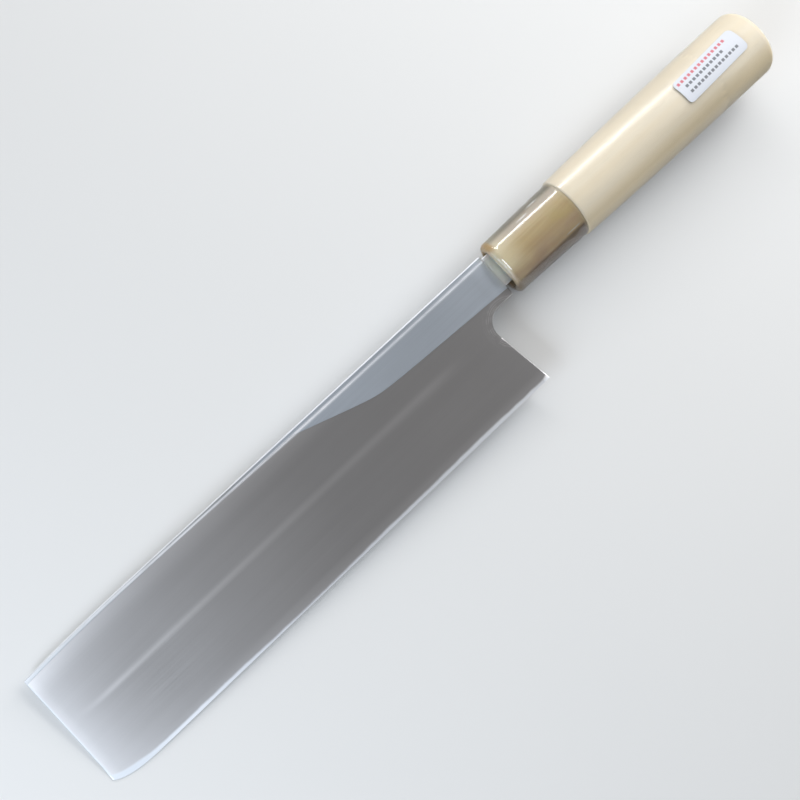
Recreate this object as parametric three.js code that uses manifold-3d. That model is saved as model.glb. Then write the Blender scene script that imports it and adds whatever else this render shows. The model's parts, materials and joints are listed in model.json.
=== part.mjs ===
// Usuba knife: a single-bevel vegetable knife with a square tip. The blade is soft iron with a layer of hard
// steel let into its hollow-ground side, and its tang is held in a magnolia grip with a buffalo-horn ferrule.
// The handle is still in its clear shrink film, with a blank label on the film.
//
// Millimetres, +Z up. The knife lies on its bevelled side with the hollow side up. +X runs from the tip to the
// butt, +Y from the cutting edge to the spine. While the pieces are made, the flat of the hollow side is z = 0,
// the straight part of the edge is y = 0 and the tip is x = 0. At the end the knife is laid down as it rests.

import * as THREE from 'three';
import { ConvexHull } from 'three/addons/math/ConvexHull.js';
import { mergeVertices } from 'three/addons/utils/BufferGeometryUtils.js';
import loadManifold from 'manifold-3d';

// Blade outline
const EDGE_LENGTH = 210;
const TIP_HEIGHT = 51.6; // edge to spine at the tip, before the spine's drop
const HEEL_HEIGHT = 50; // edge to spine at the heel
const TIP_LEAN = 1.5; // the spine corner of the tip stands this far back from the edge
const SWEEP_LENGTH = 20; // stretch of the edge that curves up to the tip
const SWEEP_RISE = 4;
const SWEEP_BEND = 4; // how far along the edge the curve aims from the tip
const SPINE_DROP = 1.3;
const SPINE_DROP_LENGTH = 45;
const HEEL_ANGLE = 7.4; // degrees that the heel leans back towards the handle
const CHOIL_RADIUS = 7;
const NECK_HEIGHT = 18.5;
const NECK_REACH = 11.3; // heel to shoulder
const SHOULDER_RADIUS = 0.9;

// Blade section
const TIP_THICKNESS = 2.4;
const NECK_THICKNESS = 4.2;
const EDGE_THICKNESS = 0.15;
const BEVEL_HEIGHT = 28; // edge to the ridge line where the bevel ends
const SPINE_CHAMFER = 0.5;

// Hollow grind, bounded by rims and, near the neck, by a flat land below the spine
const HOLLOW_RADIUS = 600;
const HOLLOW_RUNOUT = 45; // the hollow reaches its depth this far behind the tip rim
const EDGE_RIM = 1.4;
const TIP_RIM = 1.5;
const SPINE_RIM = 1.8;
const LAND_LENGTH = 83; // heel to the point of the land
const LAND_KNEE = 50; // heel to where its border turns along the blade
const LAND_KNEE_HEIGHT = 12.8;
const LAND_NECK_HEIGHT = 15.6;
const LAND_KNEE_BLEND = 1.5;

// Hard steel layer, forge-welded into the iron
const STEEL_TIP_THICKNESS = 1.0;
const STEEL_NECK_THICKNESS = 1.7;
const WELD_GAP = 0.05;

// Tang
const TANG_WIDTH = 13.2;
const TANG_THICKNESS = 3.5;
const TANG_CHAMFER = 0.4;
const TANG_SHIFT = 1.2; // off the handle's axis where it leaves the neck, towards the spine
const TANG_LENGTH = 92; // shoulder to point
const TANG_TIP_WIDTH = 5;
const TANG_TIP_THICKNESS = 2;
const TANG_SHOWN = 2.8; // shoulder to ferrule
const TANG_ROOT = 4; // overlap with the neck

// Handle: chestnut-shaped oval with a ridge along the bevelled side
const FERRULE_LENGTH = 33.6;
const GRIP_LENGTH = 95.6;
const HANDLE_DROP = 9.2; // spine at the neck to the handle's axis at the joint
const HANDLE_LEAN = 0.44; // degrees that the axis leans towards the edge's side
const FRONT_WIDTH = 22.5;
const FRONT_HEIGHT = 19.4;
const JOINT_WIDTH = 25;
const JOINT_HEIGHT = 21.4;
const BUTT_WIDTH = 27.3;
const BUTT_HEIGHT = 23.3;
const GRIP_SWELL = 0.75; // fuller than a straight taper by this much at mid-length
const HORN_STEP = 0.6; // the wood stands proud of the horn all round
const FRONT_RADIUS = 1.6;
const BUTT_RADIUS = 3;
const RIDGE_HEIGHT = 0.9;
const RIDGE_ANGLE = 101.25; // degrees from the spine side, round the underside
const RIDGE_SPREAD = 52; // degrees to either side of the ridge

// Inside the handle
const MOUTH_WIDTH = 17;
const MOUTH_HEIGHT = 6.4;
const FRONT_WALL = 9; // horn in front of the tenon
const TENON_WIDTH = 17;
const TENON_HEIGHT = 13.6;
const GLUE_GAP = 0.1;
const SOCKET_CLEARANCE = 0.2;

// Shrink film and label
const FILM_CLEARANCE = 0.1;
const FILM_THICKNESS = 0.2;
const FILM_MOUTH_MARGIN = 0.6; // the film's front opening is larger than the mouth by this much all round
const FILM_BUTT_LIP = 4;
const FILM_STEP = 0.8; // length in which it climbs from the horn to the wood
const LABEL_LENGTH = 30.5;
const LABEL_WIDTH = 9.8;
const LABEL_CORNER = 1.8;
const LABEL_THICKNESS = 0.15;
const LABEL_CLEARANCE = 0.1;
const LABEL_SETBACK = 9.2; // butt to label
const LABEL_SHIFT = 2.4; // off the top line of the handle, towards the spine
const LABEL_TURN = 2.3; // degrees off the handle's direction

// Fineness of the facets
const BLADE_STEPS = 46;
const SWEEP_STEPS = 8;
const HOLLOW_STEPS = 12;
const OVAL_SIDES = 48;
const GRIP_STEPS = 8;
const ROUND_STEPS = 5;
const LABEL_STEPS = 8;
const REST_PASSES = 6;

const wasm = await loadManifold();
wasm.setup();

const { lerp, degToRad, smoothstep } = THREE.MathUtils;

const TOOL_MARGIN = 5; // how far cutting shapes run past what they cut
const SHOULDER_X = EDGE_LENGTH + NECK_REACH;
const FRONT_X = SHOULDER_X + TANG_SHOWN;
const JOINT_X = FRONT_X + FERRULE_LENGTH;
const BUTT_X = JOINT_X + GRIP_LENGTH;
const NECK_Y = HEEL_HEIGHT - NECK_HEIGHT;
const AXIS_Y = HEEL_HEIGHT - HANDLE_DROP;
const AXIS_Z = -NECK_THICKNESS / 2;

function steps(from, to, count) {
  return Array.from({ length: count + 1 }, (_, i) => lerp(from, to, i / count));
}

// A closed skin through cross-sections. Each has two chains of points that run the same way. A point is [y, z], with
// the x of its section, or [y, z, x].
// Strips between the chains close the ends, or the last section joins the first where the skin is a loop.
function loft(sections, isLoop = false) {
  const ringSize = 2 * sections[0].upper.length;
  const positions = [];
  for (const { x, upper, lower } of sections) {
    for (const [y, z, ownX = x] of [...upper, ...lower.toReversed()]) {
      positions.push(ownX, y, z);
    }
  }
  const triangles = [];
  const addQuad = (a, b, c, d) => triangles.push([a, b, c], [a, c, d]);
  const spans = isLoop ? sections.length : sections.length - 1;
  for (let s = 0; s < spans; s += 1) {
    const near = s * ringSize;
    const far = ((s + 1) % sections.length) * ringSize;
    for (let i = 0; i < ringSize; i += 1) {
      const next = (i + 1) % ringSize;
      addQuad(near + i, near + next, far + next, far + i);
    }
  }
  if (!isLoop) {
    const last = (sections.length - 1) * ringSize;
    for (let i = 0; i + 1 < ringSize / 2; i += 1) {
      const across = ringSize - 1 - i;
      addQuad(i, across, across - 1, i + 1);
      addQuad(last + i, last + i + 1, last + across - 1, last + across);
    }
  }
  const geometry = new THREE.BufferGeometry();
  geometry.setAttribute('position', new THREE.Float32BufferAttribute(positions, 3));
  const facesOut = signedVolume(positions, triangles) > 0;
  geometry.setIndex(triangles.flatMap(([a, b, c]) => (facesOut ? [a, b, c] : [a, c, b])));
  return geometry;
}

function signedVolume(positions, triangles) {
  const corner = (i) => new THREE.Vector3().fromArray(positions, 3 * i);
  return triangles.reduce((sum, [a, b, c]) => sum + corner(a).dot(corner(b).cross(corner(c))) / 6, 0);
}

// Solids for joining and cutting
function toSolid(geometry) {
  const bare = geometry.clone();
  bare.deleteAttribute('normal');
  bare.deleteAttribute('uv');
  const merged = mergeVertices(bare);
  const mesh = new wasm.Mesh({
    numProp: 3,
    vertProperties: new Float32Array(merged.attributes.position.array),
    triVerts: new Uint32Array(merged.index.array),
  });
  return new wasm.Manifold(mesh);
}

function toGeometry(solid) {
  const { vertProperties, triVerts } = solid.getMesh();
  const geometry = new THREE.BufferGeometry();
  geometry.setAttribute('position', new THREE.Float32BufferAttribute(vertProperties, 3));
  geometry.setIndex([...triVerts]);
  return geometry;
}

// Blade curves, all as functions of the distance from the tip
function spineAt(x) {
  const drop = SPINE_DROP * Math.max(0, 1 - x / SPINE_DROP_LENGTH) ** 2;
  return lerp(TIP_HEIGHT, HEEL_HEIGHT, x / EDGE_LENGTH) - drop;
}

function thicknessAt(x) {
  return lerp(TIP_THICKNESS, NECK_THICKNESS, x / SHOULDER_X);
}

function steelAt(x) {
  return lerp(STEEL_TIP_THICKNESS, STEEL_NECK_THICKNESS, x / SHOULDER_X);
}

// Upper border of the hollow: a rim below the spine, then down the slant of the land and along the neck.
function landAt(x) {
  const start = EDGE_LENGTH - LAND_LENGTH;
  const knee = EDGE_LENGTH - LAND_KNEE;
  const slant = lerp(SPINE_RIM, LAND_KNEE_HEIGHT, (x - start) / (knee - start));
  const along = lerp(LAND_KNEE_HEIGHT, LAND_NECK_HEIGHT, (x - knee) / (SHOULDER_X - knee));
  const blended = (slant + along - Math.hypot(slant - along, LAND_KNEE_BLEND)) / 2;
  return spineAt(x) - Math.max(SPINE_RIM, blended);
}

// Stations along the blade, each with the height of the edge there
function bladeStations() {
  const sweep = new THREE.QuadraticBezierCurve(
    new THREE.Vector2(0, SWEEP_RISE),
    new THREE.Vector2(SWEEP_BEND, 0),
    new THREE.Vector2(SWEEP_LENGTH, 0),
  );
  const curved = sweep.getPoints(SWEEP_STEPS).map(({ x, y }) => ({ x, edge: y }));
  const straight = steps(SWEEP_LENGTH, SHOULDER_X + TOOL_MARGIN, BLADE_STEPS).slice(1);
  return [...curved, ...straight.map((x) => ({ x, edge: 0 }))];
}

// Everything inside the blade's tip, heel, choil and shoulder. The edge and the spine come from the sections.
function outlineSolid() {
  const low = -TOOL_MARGIN;
  const high = TIP_HEIGHT + TOOL_MARGIN;
  const lean = degToRad(HEEL_ANGLE);
  const tipX = (y) => (TIP_LEAN * y) / TIP_HEIGHT;
  const heelX = (y) => EDGE_LENGTH - y * Math.tan(lean);
  const choilY = NECK_Y - CHOIL_RADIUS;
  const choilX = heelX(choilY) + CHOIL_RADIUS / Math.cos(lean);
  const shape = new THREE.Shape();
  shape.moveTo(tipX(low), low);
  shape.lineTo(heelX(low), low);
  shape.absarc(choilX, choilY, CHOIL_RADIUS, Math.PI + lean, Math.PI / 2, true);
  const shoulderX = SHOULDER_X - SHOULDER_RADIUS;
  shape.absarc(shoulderX, NECK_Y + SHOULDER_RADIUS, SHOULDER_RADIUS, -Math.PI / 2, 0, false);
  shape.absarc(shoulderX, spineAt(SHOULDER_X) - SHOULDER_RADIUS, SHOULDER_RADIUS, 0, Math.PI / 2, false);
  shape.lineTo(shoulderX, high);
  shape.lineTo(tipX(high), high);
  const depth = NECK_THICKNESS + 2 * TOOL_MARGIN;
  const prism = new THREE.ExtrudeGeometry(shape, { depth, bevelEnabled: false, curveSegments: 2 * ROUND_STEPS });
  prism.translate(0, 0, -NECK_THICKNESS - TOOL_MARGIN);
  return toSolid(prism);
}

// The blade as ground, before the hollow: flat on top, bevelled below from the ridge line to the edge
function groundSolid(stations) {
  const sections = stations.map(({ x, edge }) => {
    const spine = spineAt(x);
    const back = thicknessAt(x);
    return {
      x,
      upper: [[edge, 0], [BEVEL_HEIGHT, 0], [spine - SPINE_CHAMFER, 0], [spine, -SPINE_CHAMFER]],
      lower: [
        [edge, -EDGE_THICKNESS],
        [BEVEL_HEIGHT, -back],
        [spine - SPINE_CHAMFER, -back],
        [spine, SPINE_CHAMFER - back],
      ],
    };
  });
  return toSolid(loft(sections));
}

// The shallow scoop between the edge rim and the border of the land
function hollowSolid(stations) {
  const start = TIP_RIM + TIP_LEAN;
  const scoopStations = [{ x: start, edge: SWEEP_RISE }, ...stations.filter(({ x }) => x > start)];
  const sections = scoopStations.map(({ x, edge }) => {
    const low = edge + EDGE_RIM;
    const high = landAt(x);
    const sag = ((high - low) ** 2 / (8 * HOLLOW_RADIUS)) * smoothstep(x, start, start + HOLLOW_RUNOUT);
    const across = steps(-1, 1, HOLLOW_STEPS);
    const yAt = (t) => lerp(low, high, (t + 1) / 2);
    return {
      x,
      upper: across.map((t) => [yAt(t), TOOL_MARGIN]),
      lower: across.map((t) => [yAt(t), -sag * (1 - t * t)]),
    };
  });
  return toSolid(loft(sections));
}

// The space of the hard steel, from ahead of the tip, grown by a gap where the iron is cut for it
function steelRegion(stations, gap) {
  const low = -TOOL_MARGIN;
  const ahead = { x: low };
  const sections = [ahead, ...stations].map(({ x }) => {
    const high = landAt(x) + gap;
    const floor = -steelAt(x) - gap;
    return {
      x,
      upper: [[low, TOOL_MARGIN], [high, TOOL_MARGIN]],
      lower: [[low, floor], [high, floor]],
    };
  });
  return toSolid(loft(sections));
}

// The tang, from inside the neck to its point on the handle's axis, or the space that it takes with a clearance
function tangSolid(clearance) {
  const box = (x, y, width, height) => {
    const halfWidth = width / 2 + clearance;
    const halfHeight = height / 2 + clearance;
    const chain = (side) => [
      [y - halfWidth, AXIS_Z + side * (halfHeight - TANG_CHAMFER)],
      [y - halfWidth + TANG_CHAMFER, AXIS_Z + side * halfHeight],
      [y + halfWidth - TANG_CHAMFER, AXIS_Z + side * halfHeight],
      [y + halfWidth, AXIS_Z + side * (halfHeight - TANG_CHAMFER)],
    ];
    return { x, upper: chain(1), lower: chain(-1) };
  };
  const rootY = AXIS_Y + TANG_SHIFT;
  const endX = SHOULDER_X + TANG_LENGTH + clearance;
  return toSolid(loft([
    box(SHOULDER_X - TANG_ROOT, rootY, TANG_WIDTH, TANG_THICKNESS),
    box(FRONT_X, rootY, TANG_WIDTH, TANG_THICKNESS),
    box(endX, axisAt(endX), TANG_TIP_WIDTH, TANG_TIP_THICKNESS),
  ]));
}

function makeBlade() {
  const stations = bladeStations();
  const blade = groundSolid(stations).subtract(hollowSolid(stations)).intersect(outlineSolid());
  return {
    steel: blade.intersect(steelRegion(stations, 0)),
    body: blade.subtract(steelRegion(stations, WELD_GAP)).add(tangSolid(0)),
  };
}

function axisAt(x) {
  return AXIS_Y - Math.tan(degToRad(HANDLE_LEAN)) * (x - JOINT_X);
}

// Handle sections: an oval, with a ridge along the underside where a height is given for it
function oval(x, width, height, ridge = 0) {
  const angles = Array.from({ length: OVAL_SIDES / 2 }, (_, i) => ((i + 0.5) * 360) / OVAL_SIDES);
  const lift = (angle) => ridge * Math.max(0, 1 - Math.abs(angle - RIDGE_ANGLE) / RIDGE_SPREAD);
  const point = (angle, side, grow) => [
    axisAt(x) + (width / 2 + grow) * Math.cos(degToRad(angle)),
    AXIS_Z + side * (height / 2 + grow) * Math.sin(degToRad(angle)),
  ];
  return {
    x,
    upper: angles.map((angle) => point(angle, 1, 0)),
    lower: angles.map((angle) => point(angle, -1, lift(angle))),
  };
}

// Straight taper along the ferrule, slightly swelling taper along the grip
function handleSize(x) {
  if (x < JOINT_X) {
    const share = Math.max(0, (x - FRONT_X) / FERRULE_LENGTH);
    return {
      width: lerp(FRONT_WIDTH, JOINT_WIDTH - 2 * HORN_STEP, share),
      height: lerp(FRONT_HEIGHT, JOINT_HEIGHT - 2 * HORN_STEP, share),
    };
  }
  const share = Math.min(1, (x - JOINT_X) / GRIP_LENGTH);
  const swell = 4 * GRIP_SWELL * share * (1 - share);
  return {
    width: lerp(JOINT_WIDTH, BUTT_WIDTH, share) + swell,
    height: lerp(JOINT_HEIGHT, BUTT_HEIGHT, share) + swell,
  };
}

function handleSection(x, grow) {
  const { width, height } = handleSize(x);
  return oval(x, width + 2 * grow, height + 2 * grow, RIDGE_HEIGHT);
}

// The rounded front and butt, at a distance outside the handle's own surface
function frontRound(distance) {
  return steps(0, Math.PI / 2, ROUND_STEPS).map((turn) => handleSection(
    FRONT_X + FRONT_RADIUS - (FRONT_RADIUS + distance) * Math.cos(turn),
    (FRONT_RADIUS + distance) * Math.sin(turn) - FRONT_RADIUS,
  ));
}

function buttRound(distance) {
  return steps(0, Math.PI / 2, ROUND_STEPS).map((turn) => handleSection(
    BUTT_X - BUTT_RADIUS + (BUTT_RADIUS + distance) * Math.sin(turn),
    (BUTT_RADIUS + distance) * Math.cos(turn) - BUTT_RADIUS,
  ));
}

// The grip's sides from the joint up to where the butt's round starts
function gripSides(distance) {
  return steps(JOINT_X, BUTT_X - BUTT_RADIUS, GRIP_STEPS).slice(0, -1).map((x) => handleSection(x, distance));
}

function tenonSolid(gap, frontX, backX) {
  const size = [TENON_WIDTH + 2 * gap, TENON_HEIGHT + 2 * gap];
  return toSolid(loft([oval(frontX, ...size), oval(backX, ...size)]));
}

function mouthSolid() {
  const radius = MOUTH_HEIGHT / 2;
  const reach = MOUTH_WIDTH / 2 - radius;
  const slot = new THREE.Shape();
  slot.absarc(reach, 0, radius, -Math.PI / 2, Math.PI / 2, false);
  slot.absarc(-reach, 0, radius, Math.PI / 2, (3 * Math.PI) / 2, false);
  const depth = FRONT_WALL + 2 * TOOL_MARGIN;
  const prism = new THREE.ExtrudeGeometry(slot, { depth, bevelEnabled: false, curveSegments: 2 * ROUND_STEPS });
  const along = new THREE.Matrix4().makeBasis(
    new THREE.Vector3(0, 1, 0),
    new THREE.Vector3(0, 0, 1),
    new THREE.Vector3(1, 0, 0),
  );
  prism.applyMatrix4(along.setPosition(FRONT_X - TOOL_MARGIN, axisAt(FRONT_X), AXIS_Z));
  return toSolid(prism);
}

function makeFerrule() {
  const outside = toSolid(loft([...frontRound(0), handleSection(JOINT_X - GLUE_GAP, 0)]));
  const bore = tenonSolid(GLUE_GAP, FRONT_X + FRONT_WALL, JOINT_X + TOOL_MARGIN);
  return outside.subtract(bore).subtract(mouthSolid());
}

function makeGrip() {
  const outside = toSolid(loft([...gripSides(0), ...buttRound(0)]));
  const tenon = tenonSolid(0, FRONT_X + FRONT_WALL + GLUE_GAP, JOINT_X + TOOL_MARGIN);
  return outside.add(tenon).subtract(tangSolid(SOCKET_CLEARANCE));
}

// The film is one skin that follows the handle and turns in over its front, up to the mouth, and over its butt.
function makeFilm() {
  const opening = [MOUTH_WIDTH + 2 * FILM_MOUTH_MARGIN, MOUTH_HEIGHT + 2 * FILM_MOUTH_MARGIN];
  const side = (distance) => [
    oval(FRONT_X - distance, ...opening),
    ...frontRound(distance),
    handleSection(JOINT_X - FILM_STEP, distance),
    ...gripSides(distance),
    ...buttRound(distance),
    handleSection(BUTT_X + distance, -BUTT_RADIUS - FILM_BUTT_LIP),
  ];
  return loft([...side(FILM_CLEARANCE + FILM_THICKNESS), ...side(FILM_CLEARANCE).reverse()], true);
}

// The label is a thin patch with round corners, bent over the top of the film and set a little askew.
function makeLabel() {
  const under = FILM_CLEARANCE + FILM_THICKNESS + LABEL_CLEARANCE;
  const middle = BUTT_X - LABEL_SETBACK - LABEL_LENGTH / 2;
  const askew = degToRad(LABEL_TURN);
  const end = steps(0, Math.PI / 2, ROUND_STEPS).map((turn) => ({
    along: LABEL_LENGTH / 2 - LABEL_CORNER * (1 - Math.cos(turn)),
    halfWidth: LABEL_WIDTH / 2 - LABEL_CORNER * (1 - Math.sin(turn)),
  }));
  const stations = [...end.map(({ along, halfWidth }) => ({ along: -along, halfWidth })), ...end.toReversed()];
  const sections = stations.map(({ along, halfWidth }) => {
    const arc = (grow) => steps(-halfWidth, halfWidth, LABEL_STEPS).map((across) => {
      const x = middle + along * Math.cos(askew) - across * Math.sin(askew);
      const offset = LABEL_SHIFT + along * Math.sin(askew) + across * Math.cos(askew);
      const { width, height } = handleSize(x);
      const turn = Math.acos(offset / (width / 2));
      return [axisAt(x) + (width / 2 + grow) * Math.cos(turn), AXIS_Z + (height / 2 + grow) * Math.sin(turn), x];
    });
    return { upper: arc(under + LABEL_THICKNESS), lower: arc(under) };
  });
  return loft(sections);
}

// The centre of mass of the knife, from its pieces' volumes and densities
function massCentre(knife) {
  const centre = new THREE.Vector3();
  let mass = 0;
  for (const { geometry, userData } of knife.children) {
    const { position } = geometry.attributes;
    const { array } = geometry.index;
    const corner = (i) => new THREE.Vector3().fromBufferAttribute(position, array[i]);
    for (let i = 0; i < array.length; i += 3) {
      const [a, b, c] = [corner(i), corner(i + 1), corner(i + 2)];
      const share = (userData.density * a.dot(b.clone().cross(c))) / 6;
      centre.addScaledVector(a.add(b).add(c), share / 4);
      mass += share;
    }
  }
  return centre.divideScalar(mass);
}

// Lays the knife on the face of its hull that it comes to rest on, with the origin below the middle of its box.
function settle(knife) {
  const hull = new ConvexHull().setFromObject(knife);
  const centre = massCentre(knife);
  let down = new THREE.Vector3(0, 0, -1);
  for (let pass = 0; pass < REST_PASSES; pass += 1) {
    const depth = ({ normal, constant }) => (constant - normal.dot(centre)) / normal.dot(down);
    const below = hull.faces.filter(({ normal }) => normal.dot(down) > 0);
    down = below.reduce((best, face) => (depth(face) < depth(best) ? face : best)).normal;
  }
  knife.quaternion.setFromUnitVectors(down, new THREE.Vector3(0, 0, -1));
  const box = new THREE.Box3().setFromObject(knife, true);
  const middle = box.getCenter(new THREE.Vector3());
  knife.position.set(-middle.x, -middle.y, -box.min.z);
}

const MATERIALS = {
  iron: { color: 0x9aa2ab, roughness: 0.38, metalness: 1 },
  steel: { color: 0x85878a, roughness: 0.32, metalness: 1 },
  horn: { color: 0xab8f69, roughness: 0.35, metalness: 0 },
  wood: { color: 0xe2d3ae, roughness: 0.55, metalness: 0 },
  film: { color: 0xf4f6f6, roughness: 0.08, metalness: 0, transparent: true, opacity: 0.2 },
  paper: { color: 0xeef1f5, roughness: 0.6, metalness: 0 },
};

// Grams per cubic centimetre
const DENSITIES = { iron: 7.85, steel: 7.85, horn: 1.3, wood: 0.5, film: 1.3, paper: 0.9 };

function piece(name, geometry, material) {
  const mesh = new THREE.Mesh(geometry, new THREE.MeshStandardMaterial(MATERIALS[material]));
  mesh.name = name;
  mesh.userData.density = DENSITIES[material];
  return mesh;
}

const blade = makeBlade();
const knife = new THREE.Group();
knife.add(
  piece('blade_body', toGeometry(blade.body), 'iron'),
  piece('edge_steel', toGeometry(blade.steel), 'steel'),
  piece('horn_ferrule', toGeometry(makeFerrule()), 'horn'),
  piece('grip', toGeometry(makeGrip()), 'wood'),
  piece('shrink_film', makeFilm(), 'film'),
  piece('label', makeLabel(), 'paper'),
);
settle(knife);

const part = new THREE.Group();
part.add(knife);

export default part;
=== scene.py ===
"""Looks of the usuba knife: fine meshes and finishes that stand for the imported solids, on a pale floor."""

import json
import math

import bmesh
import bpy
from mathutils import Euler, Matrix, Vector, noise


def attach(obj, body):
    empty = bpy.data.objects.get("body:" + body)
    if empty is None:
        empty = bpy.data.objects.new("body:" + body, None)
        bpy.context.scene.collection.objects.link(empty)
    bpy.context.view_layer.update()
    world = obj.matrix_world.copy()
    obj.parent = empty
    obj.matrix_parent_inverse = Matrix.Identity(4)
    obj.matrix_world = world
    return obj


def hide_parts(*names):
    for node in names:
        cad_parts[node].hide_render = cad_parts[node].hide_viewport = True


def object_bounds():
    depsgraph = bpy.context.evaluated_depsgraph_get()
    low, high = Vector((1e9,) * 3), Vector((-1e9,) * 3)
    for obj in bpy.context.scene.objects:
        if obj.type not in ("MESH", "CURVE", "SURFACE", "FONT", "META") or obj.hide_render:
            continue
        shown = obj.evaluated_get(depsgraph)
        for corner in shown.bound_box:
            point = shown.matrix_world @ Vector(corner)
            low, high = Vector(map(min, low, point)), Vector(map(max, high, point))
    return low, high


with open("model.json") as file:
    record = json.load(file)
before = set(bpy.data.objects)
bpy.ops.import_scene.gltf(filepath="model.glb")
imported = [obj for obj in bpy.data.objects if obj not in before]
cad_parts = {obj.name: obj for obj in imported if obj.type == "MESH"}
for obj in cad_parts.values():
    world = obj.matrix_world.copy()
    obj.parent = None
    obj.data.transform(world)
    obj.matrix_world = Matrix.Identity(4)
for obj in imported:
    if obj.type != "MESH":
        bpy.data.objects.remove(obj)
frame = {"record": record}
cad_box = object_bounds()

# Sizes are in millimetres, in the knife's own frame: x from the tip to the butt, y from the edge to the spine
# and z up out of the flat of the hollow side.
MM = 0.001

# Blade outline
EDGE_LENGTH = 210
TIP_HEIGHT = 51.6
HEEL_HEIGHT = 50
TIP_LEAN = 1.5
SWEEP_LENGTH = 20
SWEEP_RISE = 4
SWEEP_BEND = 4
SPINE_DROP = 1.3
SPINE_DROP_LENGTH = 45
HEEL_LEAN = math.radians(7.4)
CHOIL_RADIUS = 7
NECK_HEIGHT = 18.5
NECK_REACH = 11.3
SHOULDER_RADIUS = 0.9

# Blade section
TIP_THICKNESS = 2.4
NECK_THICKNESS = 4.2
EDGE_THICKNESS = 0.15
BEVEL_HEIGHT = 28
SPINE_CHAMFER = 0.5
EASED_EDGE = 0.3  # fine chamfer along the tip, heel, choil and shoulder
EASED_RUNOUT = 3
EASED_SHARE = 0.4  # of the thickness, which the chamfer takes at most
HOLLOW_RADIUS = 600
HOLLOW_RUNOUT = 45
EDGE_RIM = 1.4
TIP_RIM = 1.5
SPINE_RIM = 1.8
LAND_LENGTH = 83
LAND_KNEE = 50
LAND_KNEE_HEIGHT = 12.8
LAND_NECK_HEIGHT = 15.6
LAND_KNEE_BLEND = 1.5
STEEL_TIP_THICKNESS = 1.0
STEEL_NECK_THICKNESS = 1.7
WELD_GAP = 0.05

# Tang
TANG_WIDTH = 13.2
TANG_THICKNESS = 3.5
TANG_SHIFT = 1.2
TANG_LENGTH = 92
TANG_TIP_WIDTH = 5
TANG_TIP_THICKNESS = 2
TANG_SHOWN = 2.8
TANG_ROOT = 4
TANG_CHAMFER = 0.4

# Handle
FERRULE_LENGTH = 33.6
GRIP_LENGTH = 95.6
HANDLE_DROP = 9.2
HANDLE_LEAN = math.tan(math.radians(0.44))
FRONT_SIZE = (22.5, 19.4)
JOINT_SIZE = (25, 21.4)
BUTT_SIZE = (27.3, 23.3)
GRIP_SWELL = 0.75
HORN_STEP = 0.6
FRONT_RADIUS = 1.6
GRIP_EASE = 0.5  # rounding of the grip's front edge
BUTT_RADIUS = 3
BUTT_DOME = 0.25
RIDGE_HEIGHT = 0.9
RIDGE_ANGLE = math.radians(101.25)
RIDGE_SPREAD = math.radians(52)
RIDGE_EASE = 0.04  # rounding of the ridge's crest, as an angle
MOUTH_SIZE = (17, 6.4)
MOUTH_FLARE = 0.6  # how much wider the mouth is at the front
MOUTH_FLARE_DEPTH = 0.4
FRONT_WALL = 9
TENON_SIZE = (17, 13.6)
GLUE_GAP = 0.1
SOCKET_CLEARANCE = 0.2

# Shrink film and label
FILM_CLEARANCE = 0.12
FILM_THICKNESS = 0.12
FILM_MOUTH_MARGIN = 0.6
FILM_BUTT_LIP = 4
FILM_STEP = 0.5  # length over which it steps up to the grip
LABEL_SIZE = (30.5, 9.8)
LABEL_CORNER = 1.8
LABEL_SETBACK = 9.2
LABEL_SHIFT = 2.4
LABEL_TURN = math.radians(2.3)
LABEL_LIFT = 0.4  # its underside above the handle
LABEL_THICKNESS = 0.15

# Places that follow from the sizes
SHOULDER_X = EDGE_LENGTH + NECK_REACH
FRONT_X = SHOULDER_X + TANG_SHOWN
JOINT_X = FRONT_X + FERRULE_LENGTH
BUTT_X = JOINT_X + GRIP_LENGTH
LABEL_X = BUTT_X - LABEL_SETBACK - LABEL_SIZE[0] / 2
NECK_Y = HEEL_HEIGHT - NECK_HEIGHT
AXIS_Y = HEEL_HEIGHT - HANDLE_DROP
AXIS_Z = -NECK_THICKNESS / 2
CHOIL_Y = NECK_Y - CHOIL_RADIUS
CHOIL_X = EDGE_LENGTH - CHOIL_Y * math.tan(HEEL_LEAN) + CHOIL_RADIUS / math.cos(HEEL_LEAN)
HEEL_END_Y = CHOIL_Y - CHOIL_RADIUS * math.sin(HEEL_LEAN)

# The flat land's mount is this point of the knife, and its axis is the knife's z. The knife lies turned by
# the least turn that takes up to that axis.
LAND_MOUNT = "hollow_side_land"
LAND_MOUNT_PLACE = Vector((200, 42, 0))

# Fineness of the meshes
OVAL_SIDES = 144
TIP_COLUMNS = 16
TIP_CROWDING = 1.7  # power by which these columns crowd towards the tip
BLADE_COLUMNS = 84
HANDLE_RINGS = 40
SETTLING_ROUNDS = 6
MERGE_DISTANCE = 1e-4

PLACE = "place"  # attribute with a vertex's place in the knife's frame, in millimetres


def resting_matrix():
    """From the knife's frame in millimetres to the frame that it rests in, in metres."""
    mounts = frame["record"]["mounts"]
    mount = next(m for m in mounts if m["name"] == LAND_MOUNT)
    turn = Vector((0, 0, 1)).rotation_difference(Vector(mount["axis"])).to_matrix().to_4x4()
    from_mount = Matrix.Translation(mount["pos_m"]) @ turn @ Matrix.Scale(MM, 4)
    return from_mount @ Matrix.Translation(-LAND_MOUNT_PLACE)


REST = resting_matrix()


def lerp(a, b, share):
    return a + (b - a) * share


def steps(start, end, count):
    return [lerp(start, end, i / count) for i in range(count + 1)]


def smooth(value, low, high):
    share = min(1, max(0, (value - low) / (high - low)))
    return share * share * (3 - 2 * share)


def hump(value, middle, spread):
    return math.exp(-(((value - middle) / spread) ** 2))


# Meshes


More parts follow.
